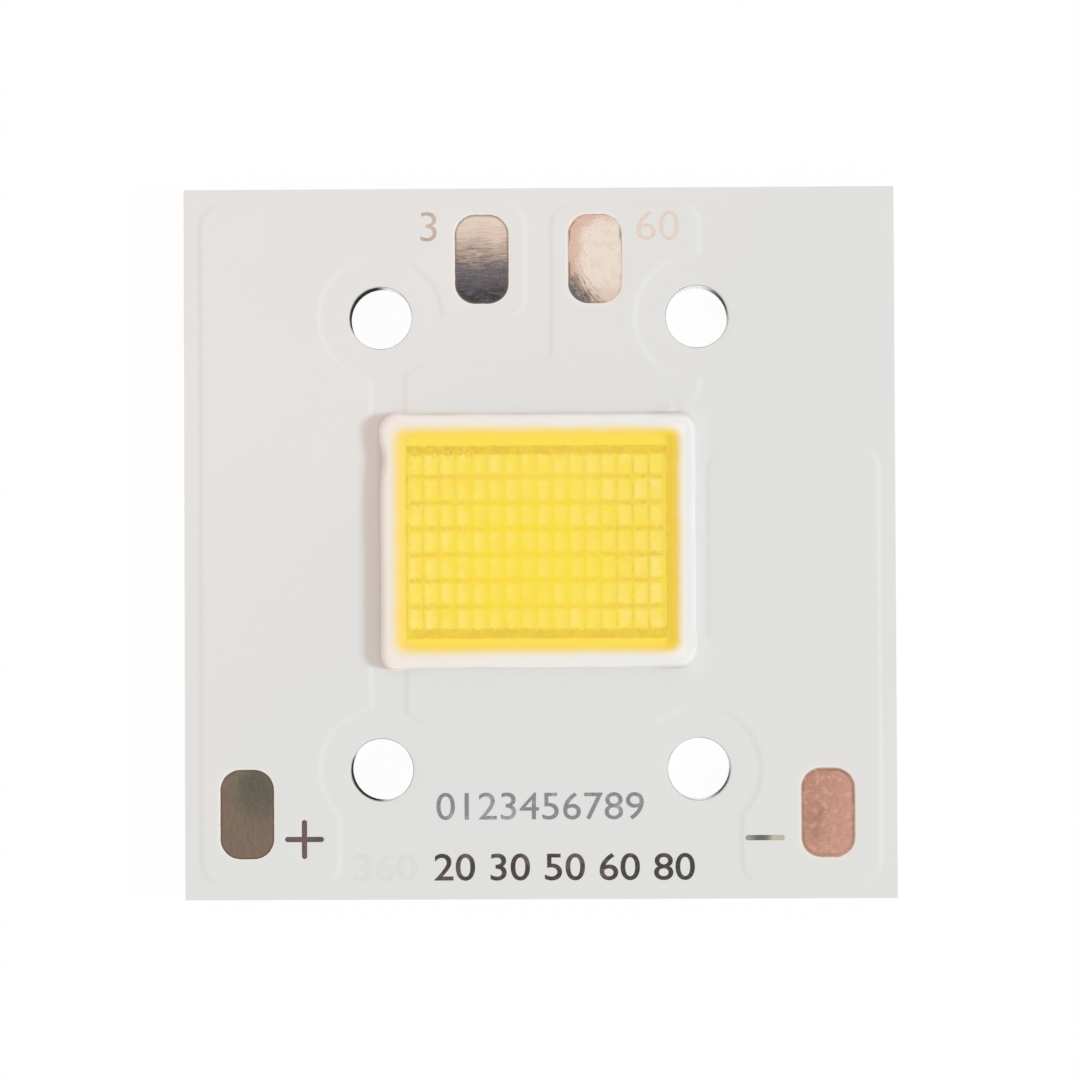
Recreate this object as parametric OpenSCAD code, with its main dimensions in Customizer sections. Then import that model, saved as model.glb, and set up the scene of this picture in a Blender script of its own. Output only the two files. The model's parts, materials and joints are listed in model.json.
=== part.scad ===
// Chip-on-board LED module: bare LED dies bonded in series strings on a square
// metal-core circuit board, inside a white silicone dam filled with yellow phosphor.
// Millimetres. The board lies on its back, its bottom face is z = 0, +Z is the light side.

/* [Board] */
// Width of the board, left to right
board_w = 32; // [30:0.5:40]
// Length of the board, bottom edge to top edge
board_l = 32; // [31:0.5:40]
// Thickness of the aluminium base
base_t = 1.5; // [1:0.1:3]
// Thickness of the insulating dielectric on the base
dielectric_t = 0.1; // [0.08:0.01:0.15]
// Thickness of the copper foil
foil_t = 0.07; // [0.05:0.01:0.1]
// Thickness of the white solder mask
mask_t = 0.04; // [0.03:0.005:0.06]

/* [Mounting holes] */
// Diameter of the four screw holes
hole_d = 2.8; // [2.2:0.1:3.2]
// Distance between hole centres, left to right
hole_span_x = 14.25; // [13.5:0.25:17]
// Distance between hole centres, bottom to top
hole_span_y = 20.35; // [19.6:0.05:21.5]
// Width of the ring around each hole that the copper keeps clear of
hole_clear = 1.5; // [1:0.1:1.7]

/* [LED dies] */
// Dies side by side, wired in parallel
die_columns = 16; // [10:1:17]
// Dies one above the other, wired in series
die_rows = 7; // [5:1:7]
// Width of a die
die_w = 0.56; // [0.4:0.02:0.62]
// Length of a die
die_l = 0.9; // [0.7:0.02:1]
// Height of a die
die_t = 0.15; // [0.1:0.01:0.2]
// Distance between die columns
die_pitch_x = 0.722; // [0.66:0.002:0.76]
// Distance between die rows
die_pitch_y = 1.164; // [1.08:0.002:1.2]
// Thickness of the adhesive under a die
adhesive_t = 0.02; // [0.01:0.005:0.04]
// How far the adhesive shows around a die
adhesive_rim = 0.03; // [0.01:0.005:0.04]

/* [Light area] */
// Offset of the dam from the board's centre, towards the top edge
dam_shift_y = 0.08; // [-0.3:0.02:0.3]
// Offset of the dies from the dam's centre, towards the right
array_shift_x = -0.145; // [-0.2:0.005:0.2]
// Offset of the dies from the dam's centre, towards the top edge
array_shift_y = -0.02; // [-0.1:0.005:0.1]
// Floor left bare between the outer dies and the side walls of the window
window_side_gap = 0.13; // [0.08:0.01:0.2]
// Floor left bare between the outer rows and the end walls of the window
window_end_gap = 0.4; // [0.3:0.02:0.5]
// Width of the silicone dam at its foot
dam_w = 1; // [0.8:0.05:1.1]
// Height of the dam above the solder mask
dam_h = 0.75; // [0.7:0.05:1]
// Corner radius along the middle of the dam
dam_corner_r = 0.6; // [0.56:0.02:0.9]
// Gap between the dies and the foot of the dam, left and right
dam_side_gap = 0.39; // [0.34:0.01:0.6]
// Gap between the dies and the foot of the dam, bottom and top
dam_end_gap = 0.78; // [0.7:0.02:1]
// Height of the phosphor above the solder mask where it meets the dam
fill_h = 0.65; // [0.5:0.01:0.68]
// How far the phosphor sinks towards its middle
fill_sag = 0.1; // [0.04:0.01:0.15]

/* [Bond wires] */
// Diameter of a bond wire
wire_d = 0.04; // [0.03:0.005:0.05]
// Diameter of the bond at each end of a wire
bond_d = 0.1; // [0.08:0.01:0.12]
// Height of a bond
bond_h = 0.04; // [0.03:0.005:0.06]
// Distance from the end of a die or foil to the bond on it
bond_inset = 0.12; // [0.1:0.01:0.16]
// Angle that the arch of a wire turns through
wire_arc = 120; // [90:5:140]

/* [Copper foil] */
// Distance from the board's edges to the copper
foil_edge = 0.85; // [0.6:0.05:1.1]
// Radius of the copper's outer corners
foil_r = 0.8; // [0.5:0.05:1]
// Gap between the foot of the dam and the side foils
foil_dam_gap = 0.62; // [0.5:0.02:0.9]
// How far the feed and return foils reach out from under the dam
foil_tongue = 2.26; // [1.9:0.02:2.4]
// Height of the top edge of the negative side foil above the middle of the dam
side_foil_top = 4.02; // [2:0.02:7]
// How far the feed and return foils reach past the dies, left and right
foil_overhang = 0.22; // [0.1:0.02:0.26]
// Distance that the bus foils stay back from the edge of the window
foil_pullback = 0.05; // [0.03:0.01:0.1]
// Width of the foil under each lead pad
lead_foil_w = 6; // [5.6:0.1:6.4]

/* [Solder pads] */
// Width of a solder pad
pad_w = 2.4; // [1.9:0.1:2.8]
// Length of a solder pad
pad_l = 4; // [3:0.1:4.2]
// Corner radius of a solder pad
pad_r = 0.9; // [0.3:0.05:1.1]
// Distance from the bottom edge of the board to the middle of the lead pads
lead_pad_y = 3.85; // [3.2:0.05:4]
// Distance from the left edge of the board to the middle of the positive pad
positive_pad_x = 2.8; // [2.6:0.05:4]
// Distance from the right edge of the board to the middle of the negative pad
negative_pad_x = 3.1; // [2.6:0.05:4]
// Distance between the two link pads
link_pad_pitch = 5.1; // [4.9:0.1:6]
// Distance from the top edge of the board to the middle of the link pads
link_pad_y = 3.2; // [3:0.05:3.4]
// Copper left beside the link pads, towards each other
link_rim = 0.65; // [0.4:0.05:0.9]
// Copper left below the link pad of the positive foil
link_drop = 0.5; // [0.4:0.05:1]

/* [Hidden] */
$fn = 48;
row_names = [for (row = [1:die_rows]) str("die_row_", row)];
series_links = [for (row = [1:die_rows - 1]) str("series_wires_", row)];
// Cutting tools run this far past the face that they cut through
cut_over = 0.5;

// Heights of the layers
dielectric_top = base_t + dielectric_t;
foil_top = dielectric_top + foil_t;
mask_top = foil_top + mask_t;
die_z = base_t + adhesive_t;
die_top = die_z + die_t;
dam_top = mask_top + dam_h;
fill_top = mask_top + fill_h;

// Screw holes and the copper-free discs around them
hole_x = hole_span_x / 2;
hole_y = hole_span_y / 2;
clear_r = hole_d / 2 + hole_clear;

// Die array, its window in the dielectric and the dam around it
array_x = array_shift_x;
array_y = dam_shift_y + array_shift_y;
array_w = (die_columns - 1) * die_pitch_x + die_w;
array_l = (die_rows - 1) * die_pitch_y + die_l;
window_w = array_w + 2 * window_side_gap;
window_l = array_l + 2 * window_end_gap;
window_bottom = array_y - window_l / 2;
window_top = array_y + window_l / 2;
dam_mid_w = array_w + 2 * dam_side_gap + dam_w;
dam_mid_l = array_l + 2 * dam_end_gap + dam_w;
dam_out_x = (dam_mid_w + dam_w) / 2;
dam_out_y = (dam_mid_l + dam_w) / 2;
dish_r = norm([dam_mid_w, dam_mid_l]) / 2;
dish_steps = 12;

// Copper outlines
foil_x = board_w / 2 - foil_edge;
foil_y = board_l / 2 - foil_edge;
side_foil_x = dam_out_x + foil_dam_gap;
lead_foil_x = foil_x - lead_foil_w;
bus_half_w = array_w / 2 + foil_overhang;
tongue_y = dam_out_y + foil_tongue;
feed_bus_y = window_top + foil_pullback;
return_bus_y = window_bottom - foil_pullback;
link_pad_x = link_pad_pitch / 2;
link_pad_cy = board_l / 2 - link_pad_y;
lead_pad_cy = -board_l / 2 + lead_pad_y;

function column_x(column) = array_x + (column - (die_columns + 1) / 2) * die_pitch_x;
// Row 1 is the one nearest the top edge
function row_y(row) = array_y + ((die_rows + 1) / 2 - row) * die_pitch_y;

// Rectangle between two corners, with round corners of radius r
module round_box(x0, y0, x1, y1, r) {
    translate([x0 + r, y0]) square([x1 - x0 - 2 * r, y1 - y0]);
    translate([x0, y0 + r]) square([x1 - x0, y1 - y0 - 2 * r]);
    for (x = [x0 + r, x1 - r], y = [y0 + r, y1 - r]) translate([x, y]) circle(r);
}

// The same about a centre
module round_rect(size, r) {
    round_box(-size.x / 2, -size.y / 2, size.x / 2, size.y / 2, r);
}

module at_holes() {
    for (x = [-hole_x, hole_x], y = [-hole_y, hole_y]) translate([x, y]) children();
}

// A flat outline given its thickness, between two heights
module slab(z0, z1) {
    translate([0, 0, z0]) linear_extrude(z1 - z0) children();
}

// One flat layer of the board, with the screw holes through it
module board_layer(z0, z1) {
    slab(z0, z1) difference() {
        square([board_w, board_l], center = true);
        at_holes() circle(d = hole_d);
    }
}

// Window in the dielectric, through which the dies stand on the bare base
module window_2d() {
    translate([array_x, array_y]) square([window_w, window_l], center = true);
}

// Every foil outline can grow sideways by g, which gives the mask that coats its flanks
module clear_of_holes(g) {
    difference() {
        children();
        at_holes() circle(clear_r - g);
    }
}

// Left: from the positive lead pad up the side and over to the left link pad
module positive_foil_2d(g = 0) {
    link_right = -link_pad_x + pad_w / 2 + link_rim;
    link_bottom = link_pad_cy - pad_l / 2 - link_drop;
    clear_of_holes(g) {
        round_box(-foil_x - g, -hole_y, -side_foil_x + g, foil_y + g, foil_r + g);
        round_box(-foil_x - g, -foil_y - g, -lead_foil_x + g, 2 * foil_r - hole_y, foil_r + g);
        round_box(-foil_x - g, link_bottom - g, link_right + g, foil_y + g, foil_r + g);
    }
}

// Top: from the right link pad down to the feed bus above the dies
module feed_foil_2d(g = 0) {
    left = link_pad_x - pad_w / 2 - link_rim;
    clear_of_holes(g) {
        round_box(left - g, tongue_y - 2 * foil_r, hole_x + g, foil_y + g, foil_r + g);
        translate([-bus_half_w - g, feed_bus_y - g])
            square([2 * (bus_half_w + g), tongue_y - feed_bus_y + 2 * g]);
        // Concave fillet where the two meet
        difference() {
            translate([left - foil_r, tongue_y]) square(foil_r);
            translate([left - foil_r, tongue_y + foil_r]) circle(foil_r - g);
        }
    }
}

// Right: from the return bus below the dies to the negative lead pad
module negative_foil_2d(g = 0) {
    clear_of_holes(g) {
        round_box(side_foil_x - g, -hole_y, foil_x + g, dam_shift_y + side_foil_top + g, foil_r + g);
        round_box(lead_foil_x - g, -foil_y - g, foil_x + g, 2 * foil_r - hole_y, foil_r + g);
        translate([-bus_half_w - g, -tongue_y - g])
            square([bus_half_w + side_foil_x + foil_r, return_bus_y + tongue_y + 2 * g]);
    }
}

// The four places where the mask is left open over the copper
module pad_windows_2d() {
    for (side = [-1, 1]) {
        translate([side * link_pad_x, link_pad_cy]) round_rect([pad_w, pad_l], pad_r);
    }
    translate([positive_pad_x - board_w / 2, lead_pad_cy]) round_rect([pad_w, pad_l], pad_r);
    translate([board_w / 2 - negative_pad_x, lead_pad_cy]) round_rect([pad_w, pad_l], pad_r);
}

// Everything inside the line along the middle of the dam
module dam_middle_2d() {
    translate([0, dam_shift_y]) round_rect([dam_mid_w, dam_mid_l], dam_corner_r);
}

module base_plate() {
    color("silver") board_layer(0, base_t);
}

module dielectric_layer() {
    color("tan") difference() {
        board_layer(base_t, dielectric_top);
        slab(base_t - cut_over, dielectric_top + cut_over) window_2d();
    }
}

module positive_foil() {
    color("chocolate") slab(dielectric_top, foil_top) positive_foil_2d();
}

module feed_foil() {
    color("peru") slab(dielectric_top, foil_top) feed_foil_2d();
}

module negative_foil() {
    color("sienna") slab(dielectric_top, foil_top) negative_foil_2d();
}

module all_foils_2d(g = 0) {
    positive_foil_2d(g);
    feed_foil_2d(g);
    negative_foil_2d(g);
}

// The mask lies on the dielectric and climbs over every foil
module mask_body() {
    board_layer(dielectric_top, dielectric_top + mask_t);
    slab(dielectric_top, mask_top) all_foils_2d(mask_t);
}

module solder_mask() {
    color("whitesmoke") difference() {
        mask_body();
        slab(dielectric_top - cut_over, foil_top) all_foils_2d();
        slab(dielectric_top - cut_over, mask_top + cut_over) {
            pad_windows_2d();
            dam_middle_2d();
        }
    }
}

module die_adhesive() {
    color("lightgrey") for (row = [1:die_rows], column = [1:die_columns]) {
        translate([column_x(column), row_y(row), base_t + adhesive_t / 2])
            cube([die_w + 2 * adhesive_rim, die_l + 2 * adhesive_rim, adhesive_t], center = true);
    }
}

// One row of dies side by side
module die_row(row) {
    color("lightsteelblue") for (column = [1:die_columns]) {
        translate([column_x(column), row_y(row), die_z + die_t / 2])
            cube([die_w, die_l, die_t], center = true);
    }
}

// A bond, from the metal that it sits on up past the end of its wire
module bond(z0, z1) {
    translate([0, 0, z0]) cylinder(d = bond_d, h = z1 - z0);
}

// One row of wires: each arches from a bond at y_high to a bond at y_low
module wire_row(y_high, z_high, y_low, z_low) {
    span = y_high - y_low;
    arch_r = span / 2 / sin(wire_arc / 2);
    bond_top = max(z_high, z_low) + bond_h;
    foot_z = bond_top - bond_h / 2;
    color("gold") for (column = [1:die_columns]) translate([column_x(column), 0, 0]) {
        translate([0, y_high, 0]) bond(z_high, bond_top);
        translate([0, y_low, 0]) bond(z_low, bond_top);
        translate([0, (y_high + y_low) / 2, foot_z - arch_r * cos(wire_arc / 2)])
            rotate([90, 0, 90]) rotate([0, 0, 90 - wire_arc / 2])
                rotate_extrude(angle = wire_arc) translate([arch_r, 0]) circle(d = wire_d, $fn = 16);
    }
}

function upper_bond_y(row) = row_y(row) + die_l / 2 - bond_inset;
function lower_bond_y(row) = row_y(row) - die_l / 2 + bond_inset;

module feed_wires() {
    wire_row(feed_bus_y + bond_inset, foil_top, upper_bond_y(1), die_top);
}

module series_wires(row) {
    wire_row(lower_bond_y(row), die_top, upper_bond_y(row + 1), die_top);
}

module return_wires() {
    wire_row(lower_bond_y(die_rows), die_top, return_bus_y - bond_inset, foil_top);
}

// Section of the silicone bead: straight flanks under a half-round crown, foot at z = 0
module bead_2d(h) {
    intersection() {
        union() {
            translate([0, h - dam_w / 2]) circle(d = dam_w);
            translate([-dam_w / 2, 0]) square([dam_w, h - dam_w / 2]);
        }
        translate([-dam_w / 2, 0]) square([dam_w, h]);
    }
}

// The bead laid once around the dies, down to the dielectric
module bead() {
    h = dam_top - dielectric_top;
    half_w = dam_mid_w / 2;
    half_l = dam_mid_l / 2;
    run_x = dam_mid_w - 2 * dam_corner_r;
    run_y = dam_mid_l - 2 * dam_corner_r;
    translate([0, dam_shift_y, dielectric_top]) {
        for (side = [-1, 1]) {
            translate([-run_x / 2, side * half_l, 0]) rotate([90, 0, 90]) linear_extrude(run_x) bead_2d(h);
            translate([side * half_w, run_y / 2, 0]) rotate([90, 0, 0]) linear_extrude(run_y) bead_2d(h);
        }
        for (turn = [0:3]) {
            x = (turn == 0 || turn == 3) ? run_x / 2 : -run_x / 2;
            y = (turn < 2) ? run_y / 2 : -run_y / 2;
            translate([x, y, 0]) rotate([0, 0, 90 * turn])
                rotate_extrude(angle = 90) translate([dam_corner_r, 0]) bead_2d(h);
        }
    }
}

module dam_ring() {
    color("white") difference() {
        bead();
        slab(dielectric_top - cut_over, foil_top) all_foils_2d();
        solder_mask();
    }
}

// Everything above the shallow bowl that the cured surface makes
module fill_dish() {
    bowl = [for (step = [0:dish_steps])
        [dish_r * step / dish_steps, fill_sag * (pow(step / dish_steps, 2) - 1)]];
    translate([0, dam_shift_y, fill_top]) rotate_extrude($fn = 96)
        polygon(concat(bowl, [[dish_r, cut_over], [0, cut_over]]));
}

module phosphor_fill() {
    color("gold") difference() {
        slab(base_t, fill_top) dam_middle_2d();
        fill_dish();
        bead();
        dielectric_layer();
        slab(dielectric_top - cut_over, foil_top) all_foils_2d();
        die_adhesive();
        for (row = [1:die_rows]) die_row(row);
        feed_wires();
        for (row = [1:die_rows - 1]) series_wires(row);
        return_wires();
    }
}

base_plate();
dielectric_layer();
positive_foil();
feed_foil();
negative_foil();
solder_mask();
die_adhesive();
for (row = [1:die_rows]) die_row(row);
feed_wires();
for (row = [1:die_rows - 1]) series_wires(row);
return_wires();
dam_ring();
phosphor_fill();
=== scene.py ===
import json
import math

import bmesh
import bpy
import numpy as np
from bpy.props import FloatProperty, FloatVectorProperty, PointerProperty, StringProperty
from mathutils import Euler, Matrix, Vector, noise
from mathutils.geometry import delaunay_2d_cdt


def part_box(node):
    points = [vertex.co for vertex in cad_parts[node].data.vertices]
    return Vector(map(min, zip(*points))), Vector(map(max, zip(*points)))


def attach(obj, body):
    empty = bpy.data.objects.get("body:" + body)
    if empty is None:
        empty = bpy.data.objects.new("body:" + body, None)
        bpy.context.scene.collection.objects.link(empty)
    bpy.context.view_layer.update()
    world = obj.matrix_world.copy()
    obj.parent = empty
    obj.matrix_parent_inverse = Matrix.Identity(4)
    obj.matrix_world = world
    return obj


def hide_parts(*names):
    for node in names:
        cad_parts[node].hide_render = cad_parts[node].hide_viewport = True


bl_info = {
    "name": "Chip-on-board LED",
    "version": (1, 0, 0),
    "blender": (4, 5, 0),
    "location": "3D View > Sidebar > LED",
    "description": "Dresses the chip-on-board LED module: mask, copper, dam, phosphor, dies and studio",
    "category": "Object",
}

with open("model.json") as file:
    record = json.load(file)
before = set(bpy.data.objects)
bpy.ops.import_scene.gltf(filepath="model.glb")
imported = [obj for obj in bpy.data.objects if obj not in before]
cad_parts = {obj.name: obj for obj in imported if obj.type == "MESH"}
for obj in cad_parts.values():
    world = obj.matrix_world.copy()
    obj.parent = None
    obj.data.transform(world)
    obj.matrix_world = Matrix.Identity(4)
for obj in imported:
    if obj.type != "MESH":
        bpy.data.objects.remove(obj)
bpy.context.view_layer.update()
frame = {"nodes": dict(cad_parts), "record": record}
MM = 0.001
GAP = 0.01 * MM


# ---------------------------------------------------------------- places taken from the frame

def box_of(*names):
    """Lowest and highest corner of one or more CAD nodes, in metres."""
    corners = [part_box(name) for name in names]
    low = [min(corner[0][axis] for corner in corners) for axis in range(3)]
    high = [max(corner[1][axis] for corner in corners) for axis in range(3)]
    return Vector(low), Vector(high)


def mount_place(name):
    """Where the record puts a mount."""
    return Vector(next(mount["pos_m"] for mount in frame["record"]["mounts"] if mount["name"] == name))


def hole_places():
    """The four screw holes' centres and their radius."""
    dims = next(mount["dims"] for mount in frame["record"]["mounts"] if mount["name"] == "screw_holes")
    x, y = dims["spacing_x_mm"] * MM / 2, dims["spacing_y_mm"] * MM / 2
    return [Vector((side * x, end * y)) for side in (-1, 1) for end in (-1, 1)], dims["hole_r_mm"] * MM


BOARD_LOW, BOARD_HIGH = box_of("base_plate")
DIELECTRIC_TOP = box_of("dielectric_layer")[1].z
FOIL_TOP = box_of("positive_foil")[1].z
MASK_TOP = box_of("solder_mask")[1].z
MASK_T = MASK_TOP - FOIL_TOP
FOIL_T = FOIL_TOP - DIELECTRIC_TOP
DAM_LOW, DAM_HIGH = box_of("dam_ring")
DIE_ROWS = sorted(name for name in frame["nodes"] if name.startswith("die_row_"))
WIRE_ROWS = sorted(name for name in frame["nodes"] if "wires" in name)
ARRAY_LOW, ARRAY_HIGH = box_of(*DIE_ROWS)
HOLES, HOLE_R = hole_places()
PADS = ("positive_lead_pad", "negative_lead_pad", "link_pad_positive", "link_pad_feed")
FOILS = ("positive_foil", "feed_foil", "negative_foil")

# Sizes of the CAD model that its boxes don't tell, in millimetres, and how many dies stand in a row
COLUMNS = 16
BOND_WIDTH = 0.1
FOOT_RADIUS = 0.7


# ---------------------------------------------------------------- sizes and colours

COLOUR = {"size": 3, "subtype": "COLOR", "min": 0, "max": 1}
ANGLE = {"subtype": "ANGLE", "unit": "ROTATION"}


class MaskLook(bpy.types.PropertyGroup):
    """Sizes and colours of the solder mask and its openings"""
    step_run: FloatProperty(
        name="Step run", description="How far the mask takes to climb over the edge of a foil",
        default=0.26 * MM, unit="LENGTH", subtype="DISTANCE")
    levelling: FloatProperty(
        name="Levelling", description="Share of the foil's height that the mask makes up beside it",
        default=0.48, min=0, max=1, subtype="FACTOR")
    grid: FloatProperty(
        name="Grid", description="Spacing of the points on a step", default=0.08 * MM, unit="LENGTH")
    shoulder: FloatProperty(
        name="Shoulder", description="How far the mask thins towards the rim of an opening",
        default=0.012 * MM, unit="LENGTH")
    pad_width: FloatProperty(
        name="Pad width", description="Width of the openings over the pads",
        default=2.4 * MM, unit="LENGTH")
    pad_length: FloatProperty(
        name="Pad length", description="Length of the openings over the pads",
        default=4 * MM, unit="LENGTH")
    pad_radius: FloatProperty(
        name="Pad radius", description="Corner radius of the openings over the pads",
        default=0.9 * MM, unit="LENGTH")
    sign_stroke: FloatProperty(
        name="Sign stroke", description="Width of the strokes of the plus and minus signs",
        default=0.24 * MM, unit="LENGTH")
    sign_length: FloatProperty(
        name="Sign length", description="Length of the strokes of the plus and minus signs",
        default=1.76 * MM, unit="LENGTH")
    plus_place: FloatVectorProperty(
        name="Plus sign", description="Offset of the plus sign from the positive lead pad",
        default=(2.57 * MM, -1.13 * MM), size=2, unit="LENGTH")
    minus_place: FloatVectorProperty(
        name="Minus sign", description="Offset of the minus sign from the negative lead pad",
        default=(-2.84 * MM, -1.12 * MM), size=2, unit="LENGTH")
    colour: FloatVectorProperty(
        name="Mask colour", description="White of the solder mask",
        default=(0.738, 0.737, 0.72), **COLOUR)
    # Also the colour of the painted light that grows towards the upper left of the mask
    warm: FloatVectorProperty(
        name="Warm patches", description="Faint warm cast of the mask",
        default=(0.783, 0.753, 0.733), **COLOUR)


class DamLook(bpy.types.PropertyGroup):
    """Sizes and colours of the silicone bead"""
    width: FloatProperty(
        name="Bead width", description="Width of the silicone bead at its foot",
        default=1 * MM, unit="LENGTH")
    crown_radius: FloatProperty(
        name="Corner radius", description="Corner radius along the middle of the bead",
        default=0.55 * MM, unit="LENGTH")
    waver: FloatProperty(
        name="Waver", description="How far the dispensed bead strays sideways",
        default=0.03 * MM, unit="LENGTH")
    colour: FloatVectorProperty(
        name="Silicone colour", description="White of the dam",
        default=(0.84, 0.825, 0.80), **COLOUR)
    warm: FloatVectorProperty(
        name="Warm silicone", description="White of the dam on the side away from the light",
        default=(0.885, 0.805, 0.735), **COLOUR)
    film: FloatProperty(
        name="Film", description="Thickness of the phosphor where it creeps up the dam",
        default=0.003 * MM, unit="LENGTH")


class PhosphorLook(bpy.types.PropertyGroup):
    """Meniscus and colour of the phosphor"""
    meniscus: FloatProperty(
        name="Meniscus", description="How high the phosphor creeps up the dam",
        default=0.02 * MM, unit="LENGTH")
    colour: FloatVectorProperty(
        name="Phosphor colour", description="Yellow of the cured phosphor",
        default=(0.985, 0.73, 0.075), **COLOUR)


class SignLook(bpy.types.PropertyGroup):
    """The plain numbers and their size"""
    thickness: FloatProperty(
        name="Thickness", description="How far the numbers stand on the mask",
        default=0.006 * MM, unit="LENGTH")
    height: FloatProperty(
        name="Height", description="Height of the numbers",
        default=1.22 * MM, unit="LENGTH", subtype="DISTANCE")
    left: StringProperty(name="Left link", description="Number beside the left link pad", default="3")
    right: StringProperty(name="Right link", description="Number beside the right link pad", default="60")
    upper: StringProperty(name="Upper row", description="Grey row of plain numbers", default="0123456789")
    lower: StringProperty(name="Lower row", description="Dark row of numbers", default="20 30 50 60 80")
    ghost: StringProperty(name="Ghost row", description="Numbers that the mask nearly hides", default="360")


class StageLook(bpy.types.PropertyGroup):
    """Camera, lights and table"""
    distance: FloatProperty(
        name="Camera distance", description="From the board's centre to the camera", default=170 * MM,
        unit="LENGTH", subtype="DISTANCE")
    tilt: FloatVectorProperty(
        name="Camera tilt", description="Lean of the camera from straight above, about x, y and z",
        default=(math.radians(1.1), math.radians(0.8), math.radians(-0.259)), size=3, subtype="EULER",
        unit="ROTATION")
    aim: FloatVectorProperty(
        name="Aim", description="Sideways offset of the camera from the board's centre",
        default=(-0.004 * MM, 0.169 * MM), size=2, unit="LENGTH")
    lens: FloatProperty(name="Lens", description="Focal length in millimetres", default=124.71)
    sky: FloatVectorProperty(
        name="Sky", description="Colour and strength of the even light from all round",
        default=(0.813, 0.738, 0.701), **COLOUR)
    key: FloatVectorProperty(
        name="Key colour", description="Colour of the light from the right",
        default=(0.625, 0.875, 1.0), **COLOUR)
    key_strength: FloatProperty(
        name="Key strength", description="Strength of the light from the right", default=1.68)
    key_height: FloatProperty(
        name="Key height", description="Angle of the light above the table",
        default=math.radians(34), **ANGLE)
    key_swing: FloatProperty(
        name="Key swing", description="How far the light stands towards the bottom edge of the board",
        default=math.radians(5), **ANGLE)
    key_spread: FloatProperty(
        name="Key spread", description="Angle that the light fills, which softens its shadows",
        default=math.radians(12), **ANGLE)
    table_glow: FloatProperty(
        name="Table glow", description="Share of the table's white that shadows don't reach", default=0.96)


# ---------------------------------------------------------------- outlines in the plane

QUARTERS = ((1, 1), (-1, 1), (-1, -1), (1, -1))


def rounded_box(centre, width, length, radius, steps=10):
    """Anticlockwise outline of a rectangle with round corners."""
    points = []
    for quarter, (sx, sy) in enumerate(QUARTERS):
        mid = (centre[0] + sx * (width / 2 - radius), centre[1] + sy * (length / 2 - radius))
        for step in range(steps + 1):
            angle = math.pi / 2 * (quarter + step / steps)
            points.append((mid[0] + radius * math.cos(angle), mid[1] + radius * math.sin(angle)))
    return np.array(points)


def ring(centre, radius, steps=64):
    """Anticlockwise circle."""
    angles = np.arange(steps) * 2 * math.pi / steps
    return np.column_stack((centre[0] + radius * np.cos(angles), centre[1] + radius * np.sin(angles)))


def plus_sign(centre, length, stroke, steps=8):
    """Anticlockwise outline of a plus sign with round ends."""
    half, reach = stroke / 2, (length - stroke) / 2
    points = []
    for arm in range(4):
        turn = math.pi / 2 * arm
        for step in range(steps + 1):
            angle = turn - math.pi / 2 + math.pi * step / steps
            points.append((reach * math.cos(turn) + half * math.cos(angle),
                           reach * math.sin(turn) + half * math.sin(angle)))
        corner = turn + math.pi / 4
        points.append((half * math.sqrt(2) * math.cos(corner), half * math.sqrt(2) * math.sin(corner)))
    return np.array(points) + np.array(centre)


def edges_of(outline):
    """The sides of a closed outline, as pairs of points."""
    return np.stack((outline, np.roll(outline, -1, axis=0)), axis=1)


def top_edges(name):
    """The outline of a CAD node's flat top, as pairs of points."""
    mesh = frame["nodes"][name].data
    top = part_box(name)[1][2]
    count = {}
    for face in mesh.polygons:
        corners = [mesh.vertices[index].co for index in face.vertices]
        if min(corner.z for corner in corners) < top - MASK_T / 8:
            continue
        keys = [(round(corner.x, 7), round(corner.y, 7)) for corner in corners]
        for a, b in zip(keys, keys[1:] + keys[:1]):
            side = (min(a, b), max(a, b))
            count[side] = count.get(side, 0) + 1
    return np.array([side for side, uses in count.items() if uses == 1])


def inside_distance(points, edges, chunk=4000):
    """Distance of each point from the nearest edge, positive inside the outline."""
    start, run = edges[:, 0], edges[:, 1] - edges[:, 0]
    square = np.maximum((run ** 2).sum(1), 1e-18)
    result = []
    for first in range(0, len(points), chunk):
        part = points[first:first + chunk, None]
        along = np.clip(((part - start) * run).sum(2) / square, 0, 1)
        nearest = np.sqrt((((part - start) - along[..., None] * run) ** 2).sum(2)).min(1)
        level = (start[:, 1] > part[..., 1]) != (edges[:, 1, 1] > part[..., 1])
        rise = np.where(run[:, 1] == 0, 1, run[:, 1])
        crossing = start[:, 0] + (part[..., 1] - start[:, 1]) / rise * run[:, 0]
        odd = (level & (part[..., 0] < crossing)).sum(1) % 2 == 1
        result.append(np.where(odd, nearest, -nearest))
    return np.concatenate(result)


def depth_in(points, outlines):
    """How deep each point lies in one of several outlines, negative outside them all."""
    return np.max([inside_distance(points, edges) for edges in outlines], axis=0)


def soft_higher(a, b, blend):
    """The higher of two heights, with a fillet between them."""
    share = np.clip(0.5 + (a - b) / (2 * blend), 0, 1)
    return b + (a - b) * share + blend * share * (1 - share)


def smooth(value):
    """Smooth step from 0 at 0 to 1 at 1."""
    t = np.clip(value, 0, 1)
    return t * t * (3 - 2 * t)


# ---------------------------------------------------------------- meshes

def add_piece(name, points, faces, sharp=35.0, replaces=()):
    """A mesh object that rides on the board, smooth shaded up to the given angle."""
    mesh = bpy.data.meshes.new(name)
    mesh.from_pydata([tuple(map(float, point)) for point in points], [], faces)
    mesh.update()
    mesh.shade_smooth()
    mesh.set_sharp_from_angle(angle=math.radians(sharp))
    piece = bpy.data.objects.new(name, mesh)
    bpy.context.collection.objects.link(piece)
    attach(piece, "root")
    if replaces:
        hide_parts(*replaces)
    return piece


def mark(piece, name, values):
    """Holds a number from 0 to 1 at each point of a piece, for its finish."""
    marks = piece.data.attributes.new(name, "FLOAT", "POINT")
    marks.data.foreach_set("value", np.clip(values, 0, 1))


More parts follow.
